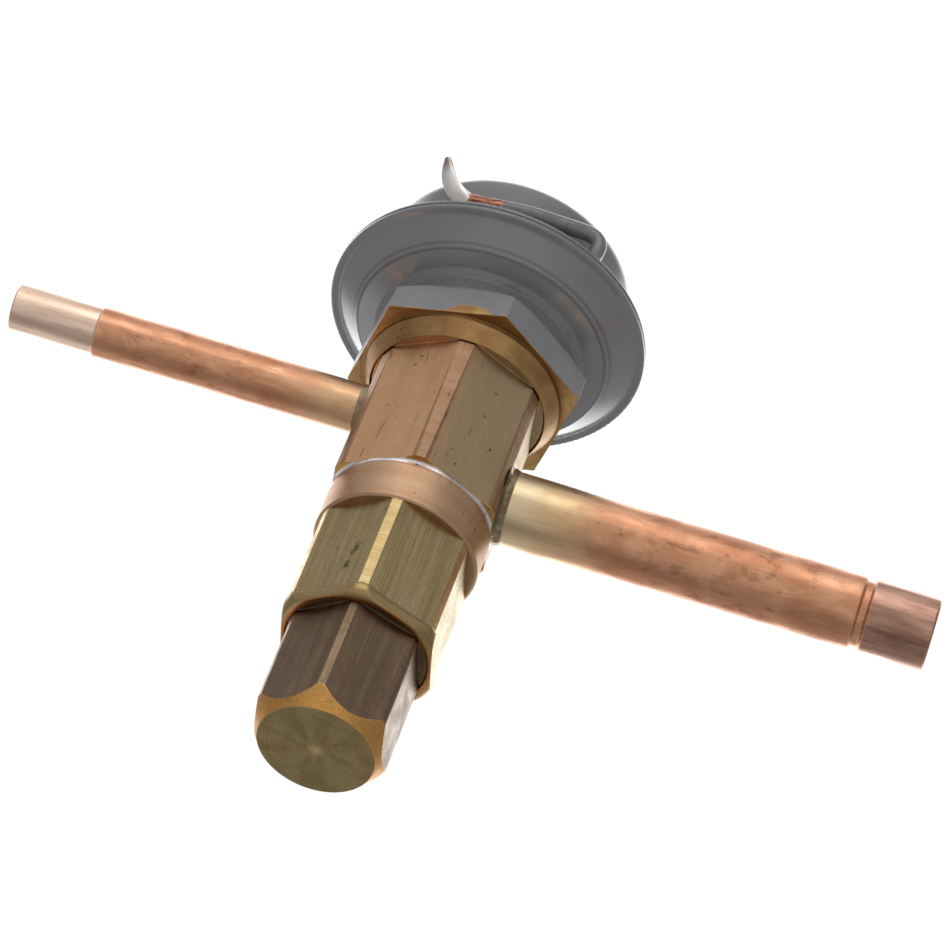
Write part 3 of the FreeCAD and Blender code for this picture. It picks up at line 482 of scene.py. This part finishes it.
# %% Valve body brass
def body_brass():
    material, tree, surface = new_material("valve body brass")
    at = place(tree)
    corner = past(tree, at.reach, BODY_CORNER_REACH, 0.00008)
    collar = before(tree, at.z, COLLAR_TOP, 0.0005)
    polish_and_highlight = collar_line(tree, at)
    drawn = placed(tree, LINES, Place=along_axis(tree, at, 0.05), Fineness=900.0)
    turned = placed(tree, LINES, Place=round_axis(tree, at), Fineness=1800.0)
    blots = placed(tree, BLOTS, Place=at.vector, Size=95.0, Specks=700.0)
    edge_width = plus(tree, 0.0003, times(tree, polish_and_highlight, 0.0005))
    edge = placed(tree, EDGE, Width=edge_width, Unevenness=800.0)
    flat = mixed(tree, drawn["Streaks"], colour(218, 175, 135), colour(202, 159, 119))
    flat = stained(tree, flat, blots["Blotches"], 0.4, colour(202, 153, 113))
    # Painted shade: the flats on the wide tube's side, +x, are painted greyer and darker.
    painted_shade_side = past(tree, plus(tree, at.x, times(tree, blots["Blotches"], 0.003)), PAINTED_SHADE_SIDE_X, 0.005)
    flat = stained(tree, flat, painted_shade_side, 0.75, colour(176, 161, 129))
    strip = mixed(tree, turned["Streaks"], colour(172, 137, 108), colour(158, 122, 95))
    ring = mixed(tree, turned["Streaks"], colour(201, 165, 134), colour(188, 148, 114))
    base = mixed(tree, collar, mixed(tree, corner, flat, strip), ring)
    base = mixed(tree, cut_corners(tree, at), base, colour(206, 156, 84))
    base = stained(tree, base, torch_stain(tree, at), 0.55, colour(150, 128, 86))
    chipped = times(tree, edge["Mask"], past(tree, noise(tree, at.vector, 260.0), 0.525, 0.15))
    base = stained(tree, base, chipped, 0.7, colour(246, 222, 190))
    # Painted highlight: the polished line at the collar's top is painted near white.
    base = stained(tree, base, polish_and_highlight, 0.9, colour(240, 240, 244))
    base = stained(tree, base, long_scratches(tree, at), 0.55, colour(104, 74, 52))
    base = stained(tree, base, blots["Specks"], 0.75, colour(84, 58, 42))
    rough = plus(tree, 0.41, times(tree, blots["Blotches"], 0.08))
    rough = minus(tree, rough, times(tree, polish_and_highlight, 0.26))
    lines = mixed(tree, collar, drawn["Fine"], turned["Fine"])
    height = plus(tree, lines, times(tree, noise(tree, at.vector, 420.0), 1.4))
    dress(tree, surface, base, rough, bump(tree, height, 0.00003, 0.8, edge["Normal"]))
    return material


BODY_BRASS = body_brass()
print("finish made:", BODY_BRASS.name)

# %% [markdown]
# The element nut is brass, but its six sides went through the paint with the dome above it. On the real valve
# the paint stops at the nut's lower edge with an uneven line, and a small patch at the front has none. The
# turned skirt and the ring below the hexagon are bare and golden brown, darker where the skirt meets the ring.

# %% Element nut: where the paint lies
PAINT_EDGE = 0.09824
BARE_PATCH_TOP = 0.1004
BARE_PATCH_TURN = -1.66
BARE_PATCH_HALF = 0.24
BARE_PATCH_DROP = 0.0023


def nut_paint(tree, at):
    ragged = times(tree, minus(tree, noise(tree, at.vector, 330.0), 0.5), 0.0016)
    level = plus(tree, at.z, ragged)
    no_lower = maths(tree, "MINIMUM", level, plus(tree, at.z, 0.00005))
    aside = maths(tree, "DIVIDE", minus(tree, at.turn, BARE_PATCH_TURN), BARE_PATCH_HALF)
    arch = minus(tree, BARE_PATCH_TOP, times(tree, times(tree, aside, aside), BARE_PATCH_DROP))
    clear_of_patch = past(tree, minus(tree, level, arch), 0.0, 0.0004)
    return times(tree, past(tree, no_lower, PAINT_EDGE, 0.00016), clear_of_patch)

# %% Element nut, brass with painted sides
SKIRT_FOOT_REACH = 0.02


def nut_brass():
    material, tree, surface = new_material("element nut brass and paint")
    at = place(tree)
    turned = placed(tree, LINES, Place=round_axis(tree, at, 0.0006), Fineness=1500.0)
    blots = placed(tree, BLOTS, Place=at.vector, Size=150.0, Specks=900.0)
    edge = placed(tree, EDGE, Width=0.0004, Unevenness=900.0)
    skirt = before(tree, at.reach, SKIRT_FOOT_REACH - 0.00005, 0.0003)
    corner = times(
        tree, past(tree, at.reach, SKIRT_FOOT_REACH - 0.00014, 0.00012),
        before(tree, at.reach, SKIRT_FOOT_REACH + 0.00014, 0.00012))
    gold = mixed(tree, turned["Streaks"], colour(199, 160, 106), colour(165, 128, 82))
    gold = stained(tree, gold, skirt, 0.5, colour(178, 138, 92))
    gold = stained(tree, gold, blots["Blotches"], 0.6, colour(142, 100, 66))
    gold = stained(tree, gold, corner, 0.5, colour(84, 60, 38))
    gold = stained(tree, gold, edge["Mask"], 0.3, colour(206, 166, 104))
    gold = stained(tree, gold, blots["Specks"], 0.7, colour(62, 44, 30))
    painted = nut_paint(tree, at)
    bare = minus(tree, 1.0, painted)
    paint = mixed(tree, noise(tree, at.vector, 260.0), colour(112, 113, 116), colour(132, 133, 136))
    rough = plus(tree, 0.30, times(tree, noise(tree, at.vector, 700.0), 0.12))
    height = plus(tree, times(tree, turned["Fine"], bare), times(tree, painted, 2.5))
    normal = bump(tree, height, 0.00003, 0.8, edge["Normal"])
    dress(tree, surface, mixed(tree, painted, gold, paint), rough, normal, bare)
    return material


NUT_BRASS = nut_brass()
print("finish made:", NUT_BRASS.name)

# %% [markdown]
# The dome and the cone under it are pressed steel sheet in a grey satin-gloss enamel. Sprayed enamel isn't
# mirror smooth: it has a faint orange-peel wave and a little dust. Its sharp edges are painted lighter, a painted
# highlight, and the two creases of the cone are painted darker, a painted shade. A coat over a plain base gives
# the two highlights of real paint, one soft and one sharp.

# %% Grey enamel
RIM_HEIGHT = 0.11643
INNER_CREASE_REACH = 0.0254
OUTER_CREASE_REACH = 0.0263


def painted_crease_shade(tree, at, crease, width):
    on_cone = before(tree, at.z, RIM_HEIGHT - 0.00125, 0.0005)
    return times(tree, before(tree, away(tree, at.reach, crease), width / 2, width), on_cone)


def grey_enamel():
    material, tree, surface = new_material("grey enamel")
    at = place(tree)
    blots = placed(tree, BLOTS, Place=at.vector, Size=60.0, Specks=1300.0)
    edge = placed(tree, EDGE, Width=0.0005, Unevenness=700.0)
    base = mixed(tree, blots["Blotches"], colour(103, 104, 107), colour(106, 107, 110))
    # Painted highlight: the sharp edges of the enamel are painted lighter.
    base = stained(tree, base, edge["Mask"], 0.3, colour(138, 139, 141))
    base = stained(tree, base, blots["Specks"], 0.35, colour(62, 62, 64))
    # Painted shade: the two creases of the cone are painted darker.
    base = stained(tree, base, painted_crease_shade(tree, at, INNER_CREASE_REACH, 0.0005), 0.6, colour(48, 49, 52))
    base = stained(tree, base, painted_crease_shade(tree, at, OUTER_CREASE_REACH, 0.0004), 0.45, colour(48, 49, 52))
    rough = plus(tree, 0.17, times(tree, blots["Blotches"], 0.02))
    peel = plus(tree, noise(tree, at.vector, 420.0, 2.0), times(tree, noise(tree, at.vector, 95.0, 1.0), 1.2))
    dress(tree, surface, base, rough, bump(tree, peel, 0.00003, 0.7, edge["Normal"]), 0.0)
    surface.inputs["Specular IOR Level"].default_value = 0.62
    surface.inputs["Coat Weight"].default_value = 0.5
    surface.inputs["Coat Roughness"].default_value = 0.05
    return material


ENAMEL = grey_enamel()
print("finish made:", ENAMEL.name)

# %% [markdown]
# The thin charging tube was soldered into the dome, sprayed with it, pinched shut and cut off. So the enamel
# stops at the pinch, a short length of bare copper follows, and the flattened tail is silvery from the solder
# it was dipped in, with a copper tip. The regions follow the turn about the valve's axis, in degrees.

# %% Charging tube: enamel, copper and tinned tail
ENAMEL_STOPS = -94.2
TAIL_STARTS = -108.5
TIP_HEIGHT = 0.1276


def charging_tube_metal():
    material, tree, surface = new_material("charging tube metal")
    at = place(tree)
    wavering = times(tree, minus(tree, noise(tree, at.vector, 700.0, 2.0), 0.5), 3.0)
    degrees = plus(tree, times(tree, at.turn, 180.0 / math.pi), wavering)
    painted = past(tree, degrees, ENAMEL_STOPS, 1.6)
    tail = before(tree, degrees, TAIL_STARTS, 2.0)
    streak_place = vector_of(tree, times(tree, at.x, 0.4), times(tree, at.y, 0.4), at.z)
    streaks = noise(tree, streak_place, 1500.0)
    copper = mixed(tree, past(tree, streaks, 0.5, 0.3), colour(176, 118, 98), colour(104, 68, 58))
    silver = mixed(tree, streaks, colour(252, 250, 248), colour(228, 220, 214))
    base = mixed(tree, tail, copper, silver)
    base = stained(tree, base, past(tree, at.z, TIP_HEIGHT, 0.0028), 0.8, colour(150, 118, 112))
    paint = mixed(tree, noise(tree, at.vector, 400.0, 2.0), colour(98, 99, 101), colour(108, 109, 111))
    base = mixed(tree, painted, base, paint)
    rough = plus(tree, 0.28, times(tree, streaks, 0.12))
    rough = minus(tree, rough, times(tree, painted, 0.16))
    height = plus(tree, streaks, times(tree, painted, 3.0))
    dress(tree, surface, base, rough, bump(tree, height, 0.00003, 0.8), minus(tree, 1.0, painted))
    surface.inputs["Specular IOR Level"].default_value = 0.7
    return material


CHARGING_TUBE_METAL = charging_tube_metal()
print("finish made:", CHARGING_TUBE_METAL.name)

# %% [markdown]
# Both connection tubes are drawn copper. A torch has been at them: near the body the copper is silvery and
# straw yellow, then it goes brown and pink with dark oxide stains. The sized ends are cleaner, brown on the
# wide tube and bright on the narrow one, whose brightness is partly a painted highlight. The colour follows the
# distance from the body, which is the x axis, and noise breaks the borders up.

# %% Copper of a tube, for both tubes
def tube_copper(name, side, foot, sized, straw_share, silver_share, end_light, end_dark):
    """side is the tube's sign on x, foot is where it leaves the body, and sized is where its sized end starts."""
    material, tree, surface = new_material(name)
    at = place(tree)
    along = times(tree, at.x, side)
    wandering = plus(tree, along, times(tree, minus(tree, noise(tree, at.vector, 130.0), 0.5), 0.010))
    drawn = placed(tree, LINES, Place=vector_of(tree, times(tree, at.x, 0.12), at.y, at.z), Fineness=1500.0)
    long_place = vector_of(tree, times(tree, at.x, 0.55), at.y, at.z)
    blots = placed(tree, BLOTS, Place=long_place, Size=190.0, Specks=900.0)
    edge = placed(tree, EDGE, Width=0.0003, Unevenness=900.0)
    copper = mixed(tree, drawn["Streaks"], colour(232, 178, 142), colour(212, 152, 118))
    copper = stained(tree, copper, blots["Blotches"], 0.6, colour(186, 124, 90))
    oxide_place = vector_of(tree, times(tree, at.x, 0.6), at.y, at.z)
    oxide = past(tree, noise(tree, oxide_place, 420.0, 4.0), 0.60, 0.08)
    oxide = times(tree, oxide, past(tree, along, foot + 0.028, 0.012))
    oxide = times(tree, oxide, before(tree, along, sized - 0.007, 0.010))
    copper = stained(tree, copper, oxide, 0.35, colour(130, 80, 56))
    straw = mixed(tree, drawn["Streaks"], colour(232, 208, 164), colour(214, 186, 140))
    base = stained(tree, copper, before(tree, wandering, foot + 0.016, 0.016), straw_share, straw)
    silver = before(tree, wandering, foot + 0.006, 0.008)
    base = stained(tree, base, silver, silver_share, colour(226, 216, 186))
    clean = past(tree, along, sized, 0.0006)
    base = mixed(tree, clean, base, mixed(tree, drawn["Streaks"], end_light, end_dark))
    base = stained(tree, base, edge["Mask"], 0.6, colour(250, 214, 188))
    base = stained(tree, base, blots["Specks"], 0.4, colour(104, 62, 44))
    rough = plus(tree, 0.32, times(tree, blots["Blotches"], 0.12))
    rough = minus(tree, rough, times(tree, clean, 0.06))
    height = plus(tree, drawn["Fine"], noise(tree, at.vector, 500.0))
    dress(tree, surface, base, rough, bump(tree, height, 0.00002, 0.8, edge["Normal"]))
    return material

# %% Copper of the two tubes
OUTLET_COPPER = tube_copper(
    "outlet tube copper", 1.0, 0.016, 0.0892, straw_share=0.8, silver_share=0.4,
    end_light=colour(210, 166, 146), end_dark=colour(150, 110, 92))
# Painted highlight: the inlet's sized end is painted brighter than clean copper.
INLET_COPPER = tube_copper(
    "inlet tube copper", -1.0, 0.012, 0.0707, straw_share=0.45, silver_share=0.1,
    end_light=colour(250, 226, 206), end_dark=colour(226, 190, 166))
print("finishes made:", OUTLET_COPPER.name, "and", INLET_COPPER.name)

# %% [markdown]
# The parts inside are steel, brass, copper and packing. They show through the open tubes and when the cap is
# off, so they get honest finishes too: one plain recipe for turned metal and wire, one for soft packing. The
# braze round each tube's foot is a dull, lumpy alloy.

# %% Recipe for turned metal and wire
def turned_metal(name, light, dark, rough):
    material, tree, surface = new_material(name)
    at = place(tree)
    turned = placed(tree, LINES, Place=round_axis(tree, at, 0.0006), Fineness=2400.0)
    blots = placed(tree, BLOTS, Place=at.vector, Size=200.0, Specks=1200.0)
    edge = placed(tree, EDGE, Width=0.00025, Unevenness=1200.0)
    base = mixed(tree, turned["Streaks"], light, dark)
    base = stained(tree, base, blots["Blotches"], 0.3, dark)
    base = stained(tree, base, edge["Mask"], 0.5, (0.9, 0.88, 0.84, 1.0))
    rough = plus(tree, rough, times(tree, blots["Blotches"], 0.1))
    dress(tree, surface, base, rough, bump(tree, turned["Fine"], 0.00002, 0.7, edge["Normal"]))
    return material


STEEL = turned_metal("stainless steel", colour(196, 196, 196), colour(150, 150, 150), 0.25)
SPRING_WIRE = turned_metal("spring wire", colour(150, 150, 152), colour(100, 100, 104), 0.3)
INNER_BRASS = turned_metal("inner brass", colour(214, 180, 112), colour(176, 140, 80), 0.28)
SOFT_COPPER = turned_metal("soft copper ring", colour(206, 132, 100), colour(160, 98, 70), 0.38)
print("turned metals made: 4")

# %% Recipe for soft packing
def soft_packing(name, light, dark):
    material, tree, surface = new_material(name)
    grain = noise(tree, place(tree).vector, 1800.0, 4.0)
    rough = plus(tree, 0.55, times(tree, grain, 0.25))
    dress(tree, surface, mixed(tree, grain, light, dark), rough, bump(tree, grain, 0.00004, 0.8), 0.0)
    return material


WHITE_PACKING = soft_packing("white packing", (0.72, 0.71, 0.68, 1), (0.55, 0.54, 0.5, 1))
GREY_SHEET = soft_packing("grey gasket sheet", (0.13, 0.13, 0.12, 1), (0.06, 0.06, 0.055, 1))
print("soft finishes made: 2")

# %% Braze alloy
def braze_metal():
    material, tree, surface = new_material("braze alloy")
    at = place(tree)
    blots = placed(tree, BLOTS, Place=at.vector, Size=420.0, Specks=1500.0)
    base = mixed(tree, blots["Blotches"], colour(172, 158, 126), colour(128, 112, 84))
    base = stained(tree, base, blots["Specks"], 0.7, colour(52, 42, 34))
    rough = plus(tree, 0.25, times(tree, blots["Blotches"], 0.3))
    dress(tree, surface, base, rough, bump(tree, noise(tree, at.vector, 450.0, 2.0), 0.00005, 0.6))
    return material


BRAZE = braze_metal()
print("finish made:", BRAZE.name)

# %% [markdown]
# Each piece of the construction model keeps its mesh, and only the material in its slot changes. Copies of
# the meshes could be painted instead, but these already have their true shapes.

# %% Give every piece of the valve its finish
PIECES_BY_FINISH = (
    (CAP_BRASS, ("seal_cap",)),
    (HOUSING_BRASS, ("spring_housing",)),
    (BODY_BRASS, ("valve_body",)),
    (NUT_BRASS, ("element_nut",)),
    (ENAMEL, ("upper_case", "lower_case")),
    (CHARGING_TUBE_METAL, ("charging_tube",)),
    (OUTLET_COPPER, ("outlet_tube",)),
    (INLET_COPPER, ("inlet_tube",)),
    (BRAZE, ("outlet_braze", "inlet_braze")),
    (INNER_BRASS, ("spring_guide", "packing_gland", "packing_follower", "pin_carrier")),
    (SOFT_COPPER, ("housing_gasket", "element_gasket")),
    (STEEL, ("adjusting_stem", "valve_pin", "valve_seat", "push_rod_front", "push_rod_back")),
    (STEEL, ("buffer_plate", "diaphragm")),
    (SPRING_WIRE, ("adjusting_spring",)),
    (WHITE_PACKING, ("stem_packing",)),
    (GREY_SHEET, ("cap_gasket",)),
)
dressed = 0
for finish, names in PIECES_BY_FINISH:
    for name in names:
        NODES[name].data.materials.clear()
        NODES[name].data.materials.append(finish)
        dressed += 1
print("pieces dressed:", dressed, "of", len(NODES))

# %% [markdown]
# The adjusting spring lies between the spring guide and the pin carrier, and shortens as the guide climbs. A
# coil of the same form takes the place of the construction model's rigid solid. The Screw modifier winds it
# from one circle. A curve with a round bevel would give the same coil.

# %% Adjusting spring: wind the coil
SPRING_WIRE_RADIUS = 0.001
SPRING_PITCH = 0.004
STEPS_A_TURN = 40
low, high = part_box("adjusting_spring")
SPRING_RISE = high.z - low.z - 2 * SPRING_WIRE_RADIUS
SPRING_TURNS = SPRING_RISE / SPRING_PITCH

bpy.ops.object.select_all(action="DESELECT")
bpy.ops.mesh.primitive_circle_add(
    vertices=20, radius=SPRING_WIRE_RADIUS, rotation=(math.pi / 2, 0.0, 0.0),
    location=(high.x - SPRING_WIRE_RADIUS, 0.0, low.z + SPRING_WIRE_RADIUS))
coil = bpy.context.object
coil.name = "adjusting_spring_coil"
bpy.ops.object.transform_apply(location=True, rotation=True, scale=True)
winding = coil.modifiers.new("winding", "SCREW")
winding.axis = "Z"
winding.angle = 2 * math.pi * SPRING_TURNS
winding.screw_offset = SPRING_RISE
winding.steps = round(STEPS_A_TURN * SPRING_TURNS)
winding.render_steps = winding.steps
bpy.ops.object.modifier_apply(modifier=winding.name)
print("coil wound:", round(SPRING_TURNS, 2), "turns")

# %% Adjusting spring: close the wire's ends
bpy.ops.object.mode_set(mode="EDIT")
bpy.ops.mesh.select_all(action="SELECT")
bpy.ops.mesh.fill_holes(sides=0)
bpy.ops.mesh.select_all(action="SELECT")
bpy.ops.mesh.normals_make_consistent(inside=False)
bpy.ops.object.mode_set(mode="OBJECT")
bpy.ops.object.shade_smooth_by_angle(angle=math.radians(40))
coil.data.materials.append(SPRING_WIRE)
print("coil closed:", len(coil.data.polygons), "faces")

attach(coil, "valve")
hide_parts("adjusting_spring")
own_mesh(coil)

# %% [markdown]
# The studio. The photograph looks up at the valve from below its cap, against white. So the floor is far down
# and the camera sits under the valve. Right, up and back are the photograph's own directions, fitted to it
# once, and every light is placed by them.

# %% Directions of the photograph's view
RIGHT = Vector((0.9535, -0.1251, 0.2742)).normalized()
UP = Vector((-0.2854, -0.6675, 0.6877)).normalized()
BACK = Vector((0.0970, -0.7340, -0.6722)).normalized()


def studio_direction(right, up, back):
    return (RIGHT * right + UP * up + BACK * back).normalized()

# %% Camera
CAMERA_PLACE = Vector((0.11296, -0.78957, -0.64592))
LENS = 210.9
SENSOR_WIDTH = 36.0

camera_data = bpy.data.cameras.new("camera")
camera_data.lens = LENS
camera_data.sensor_width = SENSOR_WIDTH
camera_data.clip_start = 0.05
camera_data.clip_end = 50.0
camera = bpy.data.objects.new("camera", camera_data)
bpy.context.scene.collection.objects.link(camera)
turn_to_view = Matrix((RIGHT, UP, BACK)).transposed()
camera.matrix_world = Matrix.Translation(CAMERA_PLACE) @ turn_to_view.to_4x4()
bpy.context.scene.camera = camera
print("camera placed", round(CAMERA_PLACE.length, 2), "m from the cap, with a", LENS, "mm lens")

# %% [markdown]
# Polished metal shows what stands round it, so the world does most of the lighting. It is dim on the whole, with
# a few broad glows where a photographer's white cards would stand. What the camera itself sees is plain white.
# Cards could be modelled as panels, but glows have softer borders and never get in the camera's way.

# %% World light
DIM_LEVEL = 0.38
WHITE = (1.0, 1.0, 1.0, 1.0)
PAPER_LEVEL = 1.05
GLOWS = (
    # Direction, cosine at the border, cosine where it is full, and strength
    (-BACK, 0.55, 0.92, 1.9),
    (studio_direction(0.05, 0.98, 0.0), 0.70, 0.97, 0.5),
    (studio_direction(0.0, 0.35, 0.94), 0.55, 0.97, 0.35),
    (studio_direction(-0.6, -0.76, -0.25), 0.955, 0.995, 1.0),
    (studio_direction(0.1, -0.75, -0.65), 0.6, 0.95, 0.12),
)

world = bpy.data.worlds.new("studio")
bpy.context.scene.world = world
world.use_nodes = True
sky = world.node_tree
sky.nodes.clear()
look = sky.nodes.new("ShaderNodeTexCoord").outputs["Generated"]


def glow(axis, border, full):
    """How much of the world's light comes from round one direction."""
    dot = sky.nodes.new("ShaderNodeVectorMath")
    dot.operation = "DOT_PRODUCT"
    sky.links.new(look, dot.inputs[0])
    dot.inputs[1].default_value = axis
    return between(sky, dot.outputs["Value"], border, full)


level = DIM_LEVEL
for axis, border, full, strength in GLOWS:
    level = plus(sky, level, times(sky, glow(axis, border, full), strength))
print("glows in the world:", len(GLOWS))

# %% World: light for the valve, white paper for the camera
def background(strength):
    node = sky.nodes.new("ShaderNodeBackground")
    node.inputs["Color"].default_value = WHITE
    feed(sky, node.inputs["Strength"], strength)
    return node.outputs[0]


seen = sky.nodes.new("ShaderNodeLightPath").outputs["Is Camera Ray"]
choice = sky.nodes.new("ShaderNodeMixShader")
sky.links.new(seen, choice.inputs[0])
sky.links.new(background(level), choice.inputs[1])
sky.links.new(background(PAPER_LEVEL), choice.inputs[2])
sky.links.new(choice.outputs[0], sky.nodes.new("ShaderNodeOutputWorld").inputs["Surface"])
print("world joined:", len(sky.nodes), "nodes")

# %% [markdown]
# One soft box hangs above and in front of the valve. It gives the tubes and the dome a long highlight.

# %% Soft box
BOX_DIRECTION = studio_direction(0.15, 0.9, 0.35)
BOX_DISTANCE = 0.9
VALVE_MIDDLE = Vector((0.0, 0.0, 0.07))

box_light = bpy.data.lights.new("upper box", "AREA")
box_light.shape = "RECTANGLE"
box_light.size = 0.8
box_light.size_y = 0.5
box_light.energy = 1.2
upper_box = bpy.data.objects.new("upper box", box_light)
bpy.context.scene.collection.objects.link(upper_box)
upper_box.location = VALVE_MIDDLE + BOX_DIRECTION * BOX_DISTANCE
upper_box.rotation_mode = "QUATERNION"
upper_box.rotation_quaternion = BOX_DIRECTION.to_track_quat("Z", "Y")
print("soft box:", box_light.size, "by", round(box_light.size_y, 2), "m")

# %% [markdown]
# The floor is a large pale sheet, far below the valve. It isn't seen in polished metal, which would show its
# edge as a dark line.

# %% Floor
FLOOR_SIZE = 16.0
FLOOR_HEIGHT = -1.4

bpy.ops.object.select_all(action="DESELECT")
bpy.ops.mesh.primitive_plane_add(size=FLOOR_SIZE, location=(0.0, 0.0, FLOOR_HEIGHT))
floor = bpy.context.object
floor.name = "floor"
floor_paint, floor_tree, floor_surface = new_material("pale floor")
floor_surface.inputs["Base Color"].default_value = (0.82, 0.82, 0.81, 1.0)
floor_surface.inputs["Roughness"].default_value = 0.7
floor.data.materials.append(floor_paint)
floor.visible_glossy = False
floor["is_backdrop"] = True
print("floor laid", -FLOOR_HEIGHT, "m below the cap")

# %% How the picture is developed
bpy.context.scene.view_settings.view_transform = "Standard"
bpy.context.scene.view_settings.look = "None"
print("view transform:", bpy.context.scene.view_settings.view_transform)

# %% Measure the sizes and finish
low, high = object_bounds()
